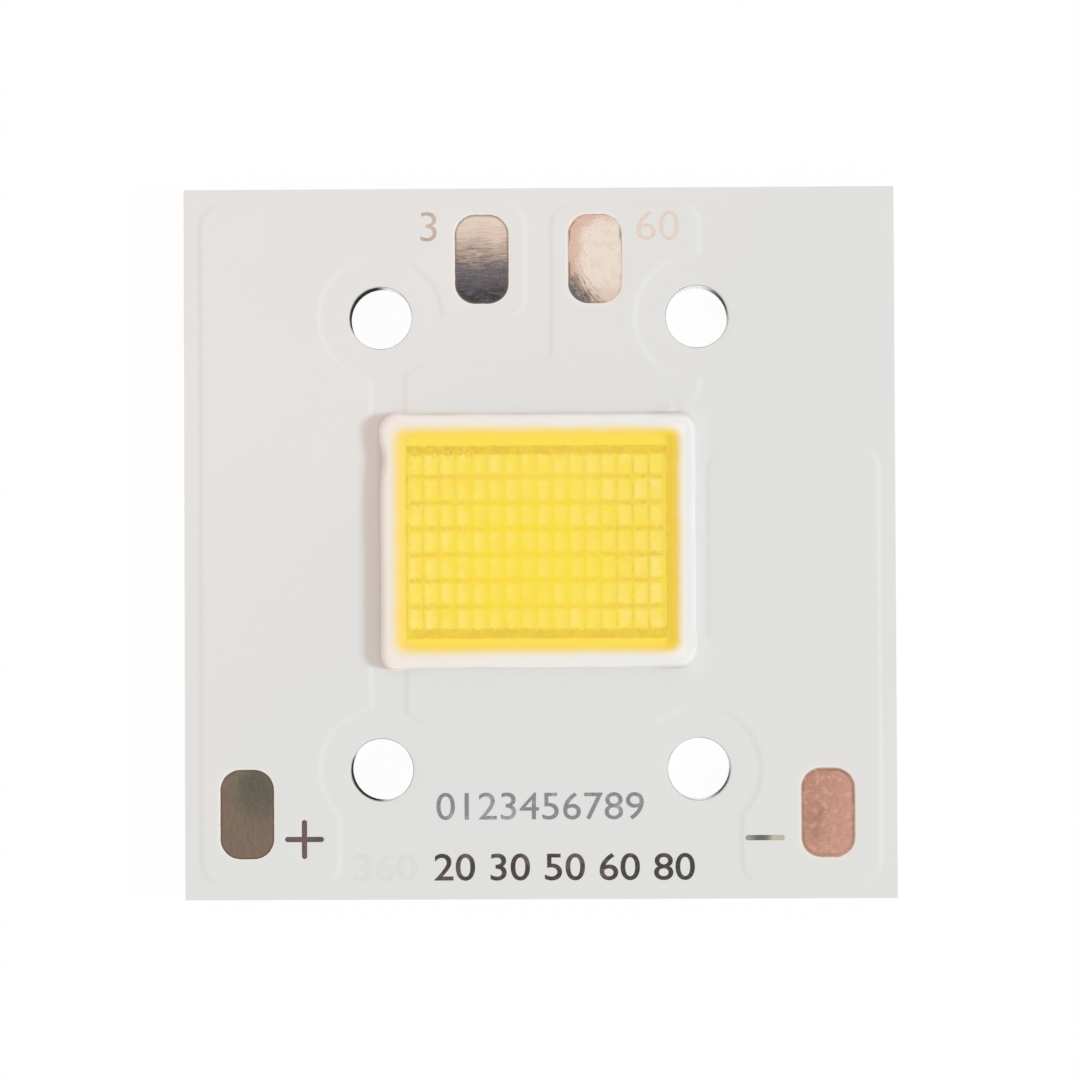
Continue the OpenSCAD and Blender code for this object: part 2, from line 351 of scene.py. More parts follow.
def paint(piece, material):
    """Gives a piece or CAD node its one material."""
    if not piece.material_slots:
        piece.data.materials.append(material)
    for slot in piece.material_slots:
        slot.material = material


def cut_sheet(outer, openings, rims, points):
    """Triangles of a flat sheet with openings. Rims are outlines that the triangles follow as well."""
    loops = [outer, *openings, *rims]
    places = np.concatenate([*loops, points])
    sides, first = [], 0
    for loop in loops:
        count = len(loop)
        sides += [(first + index, first + (index + 1) % count) for index in range(count)]
        first += count
    scaled = [Vector(place) for place in places / MM]
    flat, _, faces, *_ = delaunay_2d_cdt(scaled, sides, [], 0, 1e-6, False)
    flat = np.array([tuple(place) for place in flat]) * MM
    faces = np.array(faces)
    middles = flat[faces].mean(1)
    keep = inside_distance(middles, edges_of(outer)) > 0
    for opening in openings:
        keep &= inside_distance(middles, edges_of(opening)) < 0
    return flat, faces[keep]


def close_sheet(flat, faces, top, bottom):
    """Gives a flat sheet its two faces and the walls round its rims."""
    faces = [tuple(int(index) for index in face) for face in faces]
    sides = {side: True for a, b, c in faces for side in ((a, b), (b, c), (c, a))}
    rim = [(a, b) for a, b in sides if (b, a) not in sides]
    count = len(flat)
    points = np.concatenate((np.column_stack((flat, top)), np.column_stack((flat, bottom))))
    solid = faces + [tuple(index + count for index in reversed(face)) for face in faces]
    solid += [(b, a, a + count, b + count) for a, b in rim]
    used = sorted({index for face in solid for index in face})
    renumber = {old: new for new, old in enumerate(used)}
    return points[used], [tuple(renumber[index] for index in face) for face in solid]


# ---------------------------------------------------------------- materials

class Value:
    """What a node gives. Numbers take the signs of arithmetic, and lengths are in millimetres."""

    def __init__(self, tree, socket):
        self.tree = tree
        self.socket = socket

    def __add__(self, other):
        return self.tree.math("ADD", self, other)

    def __sub__(self, other):
        return self.tree.math("SUBTRACT", self, other)

    def __rsub__(self, other):
        return self.tree.math("SUBTRACT", other, self)

    def __mul__(self, other):
        return self.tree.math("MULTIPLY", self, other)

    def __truediv__(self, other):
        return self.tree.math("DIVIDE", self, other)

    def __abs__(self):
        return self.tree.math("ABSOLUTE", self)

    def fade(self, start, end, low=0.0, high=1.0):
        """Smoothly from low at start to high at end."""
        parts = dict(enumerate((self, start, end, low, high)))
        return self.tree.add("ShaderNodeMapRange", parts, interpolation_type="SMOOTHSTEP")


class NodeTree:
    """The nodes of one material or of the world."""

    def __init__(self, tree):
        self.nodes = tree.nodes
        self.links = tree.links

    def put(self, value, socket):
        """Links what a node gives to a socket, or sets the socket's own number or colour."""
        if isinstance(value, Value):
            self.links.new(value.socket, socket)
        elif isinstance(value, tuple) and len(socket.default_value) == 4:
            socket.default_value = (*value, 1)
        else:
            socket.default_value = value

    def add(self, kind, parts=None, output=0, **settings):
        """Makes a node from its settings and inputs, and gives one of its outputs."""
        node = self.nodes.new(kind)
        for key, value in settings.items():
            setattr(node, key, value)
        for key, value in (parts or {}).items():
            self.put(value, node.inputs[key])
        return Value(self, node.outputs[output])

    def math(self, operation, *values, clamp=False):
        """Works out a sum, keeping it from 0 to 1 where clamp is set."""
        return self.add("ShaderNodeMath", dict(enumerate(values)), operation=operation, use_clamp=clamp)

    def seen(self):
        """1 where the camera looks, also through clear or onto shiny things, and 0 for soft light."""
        camera, clear, shiny = (self.add("ShaderNodeLightPath", output="Is " + kind + " Ray")
                                for kind in ("Camera", "Transmission", "Glossy"))
        return self.math("MAXIMUM", self.math("MAXIMUM", camera, clear), shiny)


class Finish(NodeTree):
    """One material. The place on the piece, x, y and z, is in millimetres."""

    def __init__(self, name, roughness=0.5, metallic=0.0, specular=0.5):
        self.material = bpy.data.materials.new(name)
        self.material.use_nodes = True
        super().__init__(self.material.node_tree)
        self.shader = self.nodes["Principled BSDF"]
        self.shader.inputs["Roughness"].default_value = roughness
        self.shader.inputs["Metallic"].default_value = metallic
        self.shader.inputs["Specular IOR Level"].default_value = specular
        place = self.add("ShaderNodeTexCoord", output="Object")
        self.place = self.add("ShaderNodeVectorMath", {0: place, "Scale": 1 / MM}, operation="SCALE")
        self.x, self.y, self.z = (self.add("ShaderNodeSeparateXYZ", {0: self.place}, output=axis)
                                  for axis in range(3))

    def mix(self, share, low, high):
        """A colour or number between two others."""
        return self.add("ShaderNodeMix", {"Factor": share, 6: low, 7: high}, output=2, data_type="RGBA")

    def attribute(self, name):
        """A number that the mesh holds at its points."""
        return self.add("ShaderNodeAttribute", output="Fac", attribute_name=name)

    def noise(self, size, stretch=(1, 1, 1), detail=3.0, roughness=0.5, seed=0.0, turn=0.0):
        """Cloudy noise with lumps about size across, stretched along axes that turn (degrees) swings."""
        place = self.place
        if turn:
            swing = {"Vector": place, "Angle": math.radians(-turn)}
            place = self.add("ShaderNodeVectorRotate", swing, rotation_type="Z_AXIS")
        place = self.add("ShaderNodeMapping", {
            "Vector": place, "Location": (seed, seed * 0.7, seed * 1.3),
            "Scale": tuple(part / size for part in stretch)})
        return self.add("ShaderNodeTexNoise", {
            "Vector": place, "Scale": 1.0, "Detail": detail, "Roughness": roughness}, output="Fac")

    def wander(self, size, amount, detail=4, **grain):
        """Noise about zero, for outlines that stray."""
        return (self.noise(size, detail=detail, **grain) - 0.5) * amount

    def box_distance(self, centre, half, radius):
        """Distance from a rectangle with round corners, negative inside."""
        gaps = [abs(value - middle) - (reach - radius)
                for value, middle, reach in zip((self.x, self.y), centre, half)]
        out_x, out_y = (self.math("MAXIMUM", gap, 0.0) for gap in gaps)
        far = self.math("SQRT", out_x * out_x + out_y * out_y)
        near = self.math("MINIMUM", self.math("MAXIMUM", *gaps), 0.0)
        return far + near - radius

    def speckle(self, colour, size, dark, light, share, seed=0.0):
        """Adds dark and light dots."""
        grain = self.noise(size, detail=2, seed=seed)
        colour = self.mix(grain.fade(0.44, 0.3, 0, share), colour, dark)
        return self.mix(grain.fade(0.56, 0.7, 0, share), colour, light)

    def bump(self, height, distance):
        """Fine relief, where the height's whole range stands for a distance."""
        relief = self.add("ShaderNodeBump", {"Strength": 1.0, "Distance": distance * MM, "Height": height})
        self.put(relief, self.shader.inputs["Normal"])

    def done(self, colour, roughness=None, metallic=None):
        """Hands what was worked out to the shader, and gives the material."""
        for name, value in (("Base Color", colour), ("Roughness", roughness), ("Metallic", metallic)):
            if value is not None:
                self.put(value, self.shader.inputs[name])
        return self.material


def from_dam_foot(finish):
    """Distance from the dam's outer foot, negative over the dam and what it holds."""
    low, high = DAM_LOW / MM, DAM_HIGH / MM
    return finish.box_distance((low + high) / 2, (high - low) / 2, FOOT_RADIUS)


def mask_finish(look):
    """Semi-matt white solder mask with faint warm patches, painted light and shade, and a fine orange peel.
    """
    finish = Finish("solder mask white", specular=0.35)
    clouds = finish.noise(9, detail=2).fade(0.4, 0.62)
    # Painted light, lighter and warmer towards the upper left; the clouds are the mask's own warm patches
    painted_light_gradient = (finish.y - finish.x).fade(-6, 22) * 0.8
    share = finish.math("ADD", painted_light_gradient, clouds * 0.2, clamp=True)
    colour = finish.mix(share, tuple(look.colour), tuple(look.warm))

    # Rims of the pads, where the mask thins and looks tan; dark lines at the pad and hole rims are painted
    # shade
    rim = finish.attribute("pad_rim")
    broken = finish.noise(0.3).fade(0.35, 0.6, 0.3, 1)
    colour = finish.mix(rim.fade(0.05, 0.5) * 0.6, colour, (0.88, 0.79, 0.72))
    # Painted shadow of the mask's edge: a broken dark line at the very rim of each pad
    colour = finish.mix(rim.fade(0.8, 1.0) * broken, colour, (0.3, 0.21, 0.17))
    # Painted shade at the edge of each screw hole: a broken dark grey line
    hole = finish.attribute("hole_rim")
    broken = finish.noise(1.1, seed=2).fade(0.38, 0.6, 0.35, 0.8)
    colour = finish.mix(hole.fade(0.2, 0.8) * broken, colour, (0.2, 0.19, 0.18))

    # Beside the foot of the dam: painted shade on the left, painted light on the right
    foot = from_dam_foot(finish)
    beside = foot.fade(0.36, 0.02) * finish.x.fade(-5.0, -7.0, 0.0, 0.95)
    colour = finish.mix(beside, colour, (0.70, 0.655, 0.635))
    painted_light = foot.fade(0.9, 0.1) * finish.x.fade(5.0, 7.0)
    colour = finish.mix(painted_light, colour, (0.785, 0.768, 0.75))
    finish.bump(finish.noise(0.22, detail=4), 0.004)
    return finish.done(colour, finish.noise(1.4).fade(0.3, 0.7, 0.38, 0.5))


def dam_white(finish, look):
    """White silicone with painted light and shade: warm shade left and top, grey shade down its right
    flank.
    """
    # Painted shade: warmer on the left and top, away from the light
    warm = (finish.x - finish.y * 0.2).fade(5, -6.5)
    white = finish.mix(warm, tuple(look.colour), tuple(look.warm))
    outside = from_dam_foot(finish)
    # Painted light, paler, on the left flank that the light doesn't reach
    pale = outside.fade(-0.2, -0.04) * finish.x.fade(-5.2, -6.8)
    white = finish.mix(pale, white, (0.93, 0.87, 0.82))
    # Painted light on the crown and inner slope on the right
    painted_light = outside.fade(-0.35, -0.7) * finish.x.fade(5.2, 6.2)
    white = finish.mix(painted_light, white, (0.93, 0.89, 0.84))
    # Painted shade, duller, down the right flank
    flank = outside.fade(-0.28, -0.02) * finish.x.fade(4.5, 6.8, 0.0, 0.85)
    return finish.mix(flank, white, (0.67, 0.63, 0.60))


def shore_colour(finish, look, inner):
    """Yellow that fades out over the dam, with an amber tinge here and there."""
    lean = finish.x.fade(-5.2, -6.2, 0.0, 0.08)
    away = finish.box_distance(*shore(look)) + finish.wander(0.7, 0.16) + lean
    golden = finish.mix(finish.x.fade(4.8, 5.9), SHORE_YELLOW, (0.92, 0.655, 0.066))
    golden = finish.mix(finish.x.fade(-5.4, -5.9), golden, (0.93, 0.665, 0.135))
    yellow = finish.mix(away.fade(-0.34, -0.14), inner, golden)
    amber = abs(away).fade(0.14, 0.0) * finish.noise(1.3, seed=4).fade(0.5, 0.68, 0, 0.4)
    yellow = finish.mix(amber, yellow, (1.0, 0.63, 0.13))
    reach = finish.x.fade(-5.2, -6.2, 0.4, 0.55)
    return finish.mix(away.fade(reach, -0.16), dam_white(finish, look), yellow)


def dam_finish(look):
    """White silicone that takes a yellow cast towards the phosphor."""
    finish = Finish("dam silicone white", roughness=0.4, specular=0.3)
    finish.bump(finish.noise(0.5, detail=2), 0.008)
    return finish.done(shore_colour(finish, look, SHORE_YELLOW))


def cell_of(finish, value, middle, pitch, count):
    """The number of the cell that a value falls in, and the distance from the middle of that cell."""
    steps = (value - middle) / pitch + count / 2
    return finish.math("FLOOR", steps), (finish.math("FRACT", steps) - 0.5) * pitch


class DieArray:
    """Where a place on the phosphor lies over the dies, whose outlines look a little ragged."""

    def __init__(self, finish):
        low, self.high = ARRAY_LOW / MM, ARRAY_HIGH / MM
        self.mid, self.half = (low + self.high) / 2, (self.high - low) / 2
        first_low, first_high = (corner / MM for corner in box_of(DIE_ROWS[0]))
        second_high = box_of(DIE_ROWS[1])[1] / MM
        wire_low, wire_high = (corner / MM for corner in box_of("series_wires_1"))
        self.pitch_x = (wire_high.x - wire_low.x - BOND_WIDTH) / (COLUMNS - 1)
        self.pitch_y = first_high.y - second_high.y
        width = 2 * self.half.x - (COLUMNS - 1) * self.pitch_x
        length = first_high.y - first_low.y

        x = finish.x + finish.wander(0.22, 0.13, seed=1)
        y = finish.y + finish.wander(0.26, 0.2, seed=2)
        self.column, self.from_x = cell_of(finish, x, self.mid.x, self.pitch_x, COLUMNS)
        self.row, from_y = cell_of(finish, y, self.mid.y, self.pitch_y, len(DIE_ROWS))
        self.off_x, self.off_y = abs(self.from_x), abs(from_y)
        self.over_x = self.off_x.fade(width / 2 + 0.07, width / 2 - 0.12)
        self.over_y = self.off_y.fade(length / 2 + 0.08, length / 2 - 0.12)
        self.outside = finish.box_distance(self.mid, self.half, 0.02) + finish.wander(0.2, 0.42, seed=3)
        self.within = self.outside.fade(0.04, -0.1)


def die_colour(finish, dies):
    """Each die its own shade, and the whole array a deeper yellow towards its middle."""
    index = finish.add("ShaderNodeCombineXYZ", {0: dies.column, 1: dies.row})
    shade = finish.add("ShaderNodeTexWhiteNoise", {"Vector": index}, output="Value", noise_dimensions="2D")
    middle = finish.box_distance((dies.mid.x - 0.4, dies.mid.y - 0.6), (3.2, 2.2), 2.0)
    deep = finish.math("ADD", middle.fade(2.6, -1.6), finish.wander(1.6, 0.7), clamp=True)
    pale = finish.mix(deep, (0.985, 0.768, 0.135), (0.99, 0.765, 0.065))
    pale = finish.mix(shade * abs(finish.x).fade(1.5, 5.5, 0.45, 0.95), pale, (0.99, 0.79, 0.225))
    dull = dies.from_x.fade(-0.08, 0.2) * finish.x.fade(-3, 5, 0.8, 0.4)
    pale = finish.mix(dull, pale, (0.955, 0.72, 0.085))
    streaks = finish.noise(0.12, stretch=(0.35, 1, 1), detail=4, seed=12, turn=70)
    pale = finish.mix(streaks.fade(0.42, 0.62, 0, 0.4), pale, (0.965, 0.735, 0.095))
    street = finish.mix(deep, (0.94, 0.705, 0.08), (0.955, 0.735, 0.045))
    alley = finish.mix(deep, (0.93, 0.68, 0.075), (0.96, 0.71, 0.04))
    gaps = finish.mix(dies.over_y, alley, street)
    colour = finish.mix(dies.over_x * dies.over_y * dies.within, gaps, pale)
    colour = finish.mix(finish.noise(0.9, seed=5).fade(0.48, 0.66, 0, 0.5), colour, (0.93, 0.75, 0.045))
    return finish.mix(finish.noise(0.8, seed=6).fade(0.52, 0.68, 0, 0.5), colour, (0.99, 0.68, 0.055))


def gap_lines(finish, dies):
    """Fine dark lines down the gaps, where wires and the edges of the dies gather."""
    ends = abs(finish.x - (dies.mid.x - 0.2)).fade(1.2, 5.4, 0.12, 1.0)
    broken = finish.noise(0.24, detail=5, roughness=0.6, seed=8).fade(0.4, 0.6, 0.12, 1)
    line_y = (dies.pitch_y / 2 - dies.off_y).fade(0.16, 0.01)
    line_x = (dies.pitch_x / 2 - dies.off_x).fade(0.085, 0.0)
    lines = finish.math("MAXIMUM", line_y, line_x * finish.x.fade(1, 5, 0.65, 1.0))
    return lines * broken * (ends * dies.within) * 0.58


def bus_strips(finish, look):
    """Yellow of the strips round the window, golden on the right."""
    streaks = finish.noise(0.12, stretch=(1, 0.15, 1))
    golden = finish.mix(streaks, (0.825, 0.55, 0.035), (0.865, 0.605, 0.05))
    strip = finish.mix(finish.x.fade(5.45, 5.95), tuple(look.colour), golden)
    return finish.mix(finish.x.fade(-5.6, -6.0, 0, 0.75), strip, (0.90, 0.645, 0.10))


def wire_shadows(finish, dies, window, inside, colour):
    """Wires at both ends of the array, and the dark line along its left and right."""
    tall = abs(finish.y - dies.mid.y).fade(dies.half.y - 0.2, dies.half.y)
    band = dies.outside.fade(-0.1, 0.06) * inside * tall
    clotted = finish.noise(0.4, detail=4, seed=13).fade(0.42, 0.6)
    clot = finish.mix(clotted, (0.86, 0.60, 0.045), (0.80, 0.54, 0.045))
    colour = finish.mix(band * 0.85, colour, clot)
    strokes = finish.noise(0.085, stretch=(1, 0.5, 1), detail=4, roughness=0.65, seed=7).fade(0.46, 0.66)
    gathered = (finish.y - finish.x).fade(3.5, 9.5, 0.3, 1.0)
    spill = dies.outside.fade(-0.3, 0.0) * finish.y.fade(-1.0, dies.high.y, 0.25, 0.75) * inside
    dirt = strokes * gathered * finish.math("MAXIMUM", band * 0.75, spill * 0.8)
    colour = finish.mix(dirt, colour, (0.60, 0.42, 0.05))
    broken = finish.noise(0.3, stretch=(1, 0.5, 1), detail=4, seed=11).fade(0.35, 0.6, 0.25, 1)
    wall = abs(window + 0.03).fade(0.08, 0.0) * broken * tall.fade(0.9, 0.1)
    return finish.mix(wall * finish.x.fade(-2, 3, 0.5, 0.6), colour, (0.64, 0.43, 0.05))


def phosphor_finish(look, dam):
    """Cured yellow phosphor, through which the dies, their gaps and the wires show softly."""
    finish = Finish("phosphor yellow", roughness=0.4, specular=0.3)
    dies = DieArray(finish)
    window = finish.box_distance((dies.mid.x + 0.045, dies.mid.y - 0.02),
                                 (dies.half.x + 0.165, dies.half.y + 0.38), 0.05)
    window = window + finish.wander(0.25, 0.05, seed=9)
    inside = window.fade(0.04, -0.04)
    colour = finish.mix(gap_lines(finish, dies), die_colour(finish, dies), (0.71, 0.50, 0.06))
    colour = finish.mix(inside, bus_strips(finish, look), colour)
    colour = wire_shadows(finish, dies, window, inside, colour)
    colour = finish.speckle(colour, 0.05, (0.86, 0.62, 0.06), (0.99, 0.80, 0.19), 0.3)
    finish.bump(finish.noise(0.35, detail=2), 0.005)
    return finish.done(shore_colour(finish, dam, colour))


def copper_finish(name, paint_pads, look):
    """Bare copper foil. paint_pads gives the colour and the relief of its open pads."""
    finish = Finish(name, roughness=0.45, metallic=0.85)
    brushed = finish.noise(0.05, stretch=(0.1, 1, 1), detail=5, roughness=0.65)
    colour, height = paint_pads(finish, brushed, look)
    finish.bump(height, 0.008)
    return finish.done(colour)


def near_pad(finish, pad, look):
    """1 on one pad and 0 elsewhere, the place on it from its middle, and the distance from its outline."""
    place = mount_place(pad) / MM
    edge = finish.box_distance(place, (look.pad_width / MM / 2, look.pad_length / MM / 2),
                               look.pad_radius / MM)
    return edge.fade(0.3, 0.1), finish.x - place.x, finish.y - place.y, edge


def browned_copper(finish, x, y, edge):
    """Lead pad browned all over, olive towards its upper right."""
    from_x, from_y = x - 0.45, y - 1.15
    far = finish.math("SQRT", from_x * from_x + from_y * from_y * 0.6)
    olive = (far + finish.wander(0.8, 1.3, seed=1)).fade(1.35, 0.25)
    brown = finish.mix(y.fade(1.0, -1.8), (0.2, 0.15, 0.11), (0.22, 0.145, 0.115))
    brown = finish.mix(x.fade(-0.5, -1.15, 0, 0.7), brown, (0.24, 0.15, 0.13))
    brown = finish.mix(finish.noise(0.6, seed=3).fade(0.5, 0.7, 0, 0.5), brown, (0.24, 0.185, 0.11))
    grain = finish.noise(0.14, stretch=(1, 0.25, 1), detail=4, seed=14).fade(0.38, 0.62, 0, 0.6)
    brown = finish.mix(grain, brown, (0.165, 0.13, 0.085))
    brown = finish.mix(olive, brown, (0.115, 0.108, 0.078))
    brown = finish.speckle(brown, 0.07, (0.12, 0.1, 0.07), (0.3, 0.23, 0.16), 0.4)
    # Painted shadow of the mask's edge, darker at the rim
    return finish.mix(edge.fade(-0.1, -0.01, 0, 0.7), brown, (0.12, 0.075, 0.06))


def copper_painted_reflection(finish, y, edge, brushed):
    """Link pad streaked across, with a painted reflection: pink at its top, dark grey towards its bottom.
    """
    cloud = finish.wander(0.5, 0.9, stretch=(0.6, 1.4, 1))
    height = y + (brushed - 0.5) * 1.5 + cloud
    # Painted reflection: pink at the top, through grey to near black towards the bottom
    top = finish.mix(height.fade(0.1, 1.8), (0.43, 0.325, 0.26), (0.75, 0.615, 0.51))
    top = finish.mix(abs(height - 1.15).fade(0.4, 0.0, 0, 0.5), top, (0.76, 0.53, 0.46))
    dark = finish.mix(height.fade(-0.4, -1.8), (0.15, 0.13, 0.14), (0.045, 0.042, 0.045))
    grey = finish.mix(height.fade(0.15, -0.55), top, dark)
    purple = abs(y + 0.25).fade(0.7, 0.1) * brushed.fade(0.5, 0.38, 0, 0.75)
    grey = finish.mix(purple, grey, (0.13, 0.095, 0.1))
    scratch = finish.noise(0.07, stretch=(0.1, 1, 1), detail=4, seed=5)
    worn = scratch.fade(0.47, 0.33) * y.fade(1.4, 0.2, 0.15, 0.65)
    grey = finish.mix(worn, grey, (0.16, 0.115, 0.1))
    # Bright scratches follow the painted reflection and are dark at the bottom
    bright = finish.mix(y.fade(-0.6, 0.2), (0.2, 0.18, 0.19), (0.78, 0.6, 0.5))
    grey = finish.mix(scratch.fade(0.56, 0.7, 0, 0.5), grey, bright)
    grey = finish.speckle(grey, 0.07, (0.12, 0.1, 0.1), (0.6, 0.5, 0.45), 0.14, seed=2)
    # Painted shadow of the mask's edge, darker at the rim
    return finish.mix(edge.fade(-0.12, -0.02, 0, 0.6), grey, (0.2, 0.15, 0.12))


def positive_pads(finish, brushed, look):
    """The browned lead pad, the link pad with its painted reflection, and the plus sign, mauve with a grey
    right arm.
    """
    lead, x, y, edge = near_pad(finish, "positive_lead_pad", look)
    sign = finish.mix((x - look.plus_place[0] / MM).fade(0.0, 0.5),
                      (0.165, 0.102, 0.098), (0.105, 0.098, 0.095))
    sign = finish.speckle(sign, 0.12, (0.10, 0.08, 0.08), (0.28, 0.2, 0.18), 0.5)
    colour = finish.mix(lead, sign, browned_copper(finish, x, y, edge))
    link, _, y, edge = near_pad(finish, "link_pad_positive", look)
    colour = finish.mix(link, colour, copper_painted_reflection(finish, y, edge, brushed))
    return colour, finish.mix(link, finish.noise(0.2, detail=4), brushed)


def feed_pad(finish, brushed, look):
    """Bright cream copper, partly a painted reflection, pink down its left, darker and scratched at its
    lower left.
    """
    link, x, y, edge = near_pad(finish, "link_pad_feed", look)
    lumps = finish.noise(0.4, detail=4, seed=2)
    mottle = (lumps - 0.5) * 0.7
    # Bright cream, partly a painted reflection, a little darker towards the bottom
    colour = finish.mix(y.fade(-0.8, -1.8), (0.80, 0.68, 0.58), (0.70, 0.54, 0.44))
    clouds = finish.noise(0.5, detail=5, seed=12).fade(0.45, 0.66, 0, 0.45)
    colour = finish.mix(clouds, colour, (0.70, 0.56, 0.47))
    side = finish.math("MAXIMUM", x * -1.0, y * 0.85 - (x * 0.6 + 0.75)) + mottle
    colour = finish.mix((y + mottle * 1.5).fade(1.45, 1.85, 0, 0.6), colour, (0.72, 0.49, 0.39))
    colour = finish.mix(side.fade(0.25, 1.0), colour, (0.69, 0.45, 0.36))
    speck = abs(side - 0.55).fade(0.4, 0.0) * finish.noise(0.06, detail=4, seed=4).fade(0.5, 0.62, 0, 0.8)
    colour = finish.mix(speck, colour, (0.9, 0.8, 0.71))

    # Dark crescent with slanting scratches
    slanting = x + y * 0.9
    lines = finish.noise(0.09, stretch=(0.2, 1, 1), detail=4, seed=15, turn=-55) - 0.5
    dark_crescent = slanting + lines * 2.4 + mottle
    colour = finish.mix(dark_crescent.fade(-1.0, -1.9, 0, 0.85), colour, (0.40, 0.29, 0.22))
    colour = finish.mix((slanting + lines * 1.8).fade(-1.55, -2.2), colour, (0.12, 0.105, 0.10))

    # Smudges, and a painted shadow of the mask's edge as a thin dark line at the rim
    smudge = finish.noise(0.33, detail=3, seed=8).fade(0.58, 0.72, 0, 0.4)
    colour = finish.mix(smudge, colour, (0.6, 0.5, 0.42))
    fleck = finish.noise(0.16, detail=5, roughness=0.6, seed=21).fade(0.6, 0.7, 0, 0.5)
    colour = finish.mix(fleck, colour, (0.58, 0.45, 0.38))
    colour = finish.speckle(colour, 0.06, (0.6, 0.46, 0.36), (0.97, 0.9, 0.82), 0.25, seed=6)
    rim = abs(edge + 0.06).fade(0.05, 0.01) * finish.noise(1.2, seed=9).fade(0.45, 0.6)
    return finish.mix(rim, colour, (0.28, 0.2, 0.16)), finish.mix(link, brushed, lumps)


def negative_pad(finish, brushed, look):
    """Salmon copper, mottled, with a painted rim shadow as a brown line inside its rim, and an olive minus
    sign.
    """
    lead, x, y, edge = near_pad(finish, "negative_lead_pad", look)
    lumps = finish.noise(0.45, detail=4, seed=3)
    slant = x - y * 0.3 + (lumps - 0.5) * 2.2
    base = finish.mix(slant.fade(-1.1, 1.2), (0.48, 0.245, 0.18), (0.57, 0.30, 0.225))
    patch_x, patch_y = x + 0.55, y + 0.35
    patch = finish.math("SQRT", patch_x * patch_x + patch_y * patch_y * 0.3)
    patch = (patch + (lumps - 0.5) * 0.8).fade(0.7, 0.1, 0, 0.7)
    base = finish.mix(patch, base, (0.36, 0.185, 0.135))
    dull = finish.noise(0.3, detail=5, roughness=0.6, seed=16).fade(0.52, 0.66, 0, 0.5)
    base = finish.mix(dull, base, (0.40, 0.22, 0.155))
    bright = finish.noise(0.35, detail=5, seed=4).fade(0.5, 0.66, 0, 0.5)
    base = finish.mix(bright, base, (0.69, 0.39, 0.28))
    base = finish.speckle(base, 0.09, (0.36, 0.2, 0.14), (0.7, 0.44, 0.33), 0.35)
    # Painted shadow of the mask's edge: a brown line inside the rim, strongest at the upper right
    painted_rim_shadow = abs(edge + 0.09).fade(0.09, 0.02) * (x + y * 0.4).fade(0.5, 1.6, 0.4, 1)
    broken = finish.noise(0.6, seed=6).fade(0.35, 0.6, 0.4, 0.9)
    base = finish.mix(painted_rim_shadow * broken, base, (0.2, 0.14, 0.09))
    base = finish.mix(edge.fade(-0.05, 0.0, 0, 0.5), base, (0.75, 0.6, 0.48))

    sign_x = x - look.minus_place[0] / MM
    sign = finish.mix(sign_x.fade(0.1, 0.4), (0.34, 0.32, 0.26), (0.50, 0.465, 0.37))
    sign = finish.mix(abs(sign_x + 0.2).fade(0.6, 0.1), sign, (0.15, 0.15, 0.12))
    return finish.mix(lead, sign, base), finish.mix(lead, brushed, lumps)


def aluminium_finish():
    """Rolled aluminium plate: brushed back, sheared sides, hole walls with painted light and, on one side,
    painted shade.
    """
    finish = Finish("aluminium plate", roughness=0.4, metallic=0.9, specular=0.1)
    brushed = finish.noise(0.06, stretch=(1, 0.03, 1), detail=4)
    sheared = finish.noise(0.09, stretch=(1, 1, 0.12), detail=4)
    from_x, from_y = (abs(part) - middle / MM for part, middle in zip((finish.x, finish.y), HOLES[-1]))
    away = finish.math("SQRT", from_x * from_x + from_y * from_y)
    wall = away.fade(HOLE_R / MM + 0.06, HOLE_R / MM + 0.02)
    shaded_side = from_x * 0.85 + from_y * 0.53 - finish.x.fade(-1, 1, 0.0, 0.5)
    on_face = finish.z.fade(0.04, 0.0)
    punched = 1.0 - on_face
    dark = wall * shaded_side.fade(0.4, 1.0) * punched
    edge = finish.mix(sheared, (0.5, 0.5, 0.49), (0.78, 0.78, 0.77))
    face = finish.mix(brushed, (0.66, 0.67, 0.68), (0.84, 0.85, 0.86))
    colour = finish.mix(on_face, edge, face)
    # Painted light: the hole walls white, as if lit
    colour = finish.mix(wall * punched, colour, (0.93, 0.93, 0.92))
    # Painted shade: near black on the outer side of each hole wall, less in the right holes
    colour = finish.mix(dark, colour, (0.02, 0.017, 0.015))
    finish.bump(finish.mix(on_face, sheared, brushed), 0.01)
    # Matt and not metallic where the shade is painted, so that it stays dark
    rough = finish.math("MAXIMUM", sheared.fade(0.3, 0.7, 0.32, 0.5), dark)
    return finish.done(colour, rough, finish.math("SUBTRACT", 0.9, dark, clamp=True))


def number_finish(name):
    """Ink or bare copper of the numbers, unevenly covered."""
    colour, light, dark, metallic = INKS[name]
    finish = Finish("number " + name, roughness=0.5, metallic=metallic, specular=0.3)
    tone = finish.mix(finish.noise(0.7, detail=4).fade(0.5, 0.68, 0, 0.8), colour, light)
    tone = finish.speckle(tone, 0.12, dark, light, 0.5)
    return finish.done(tone, finish.noise(0.3).fade(0.3, 0.7, 0.42, 0.58))


def plain_finish(name, low, high, size, roughness=0.5, metallic=0.0):
    """A clouded colour with a fine grain, for what lies under the mask and the phosphor."""
    finish = Finish(name, roughness, metallic)
    colour = finish.mix(finish.noise(size).fade(0.3, 0.7), low, high)
    finish.bump(finish.noise(size / 4), 0.004)
    return finish.done(colour)


# ---------------------------------------------------------------- rings that the dam and the phosphor share

# Points of each ring, on a corner and along the long and short sides, and lengths of the bead's waves
CORNER_STEPS, LONG_STEPS, SHORT_STEPS = 14, 72, 58
WAVER_LENGTH = 1.9 * MM
SWELL_LENGTH = 2.4 * MM
CORNER_GROWTH = 0.35


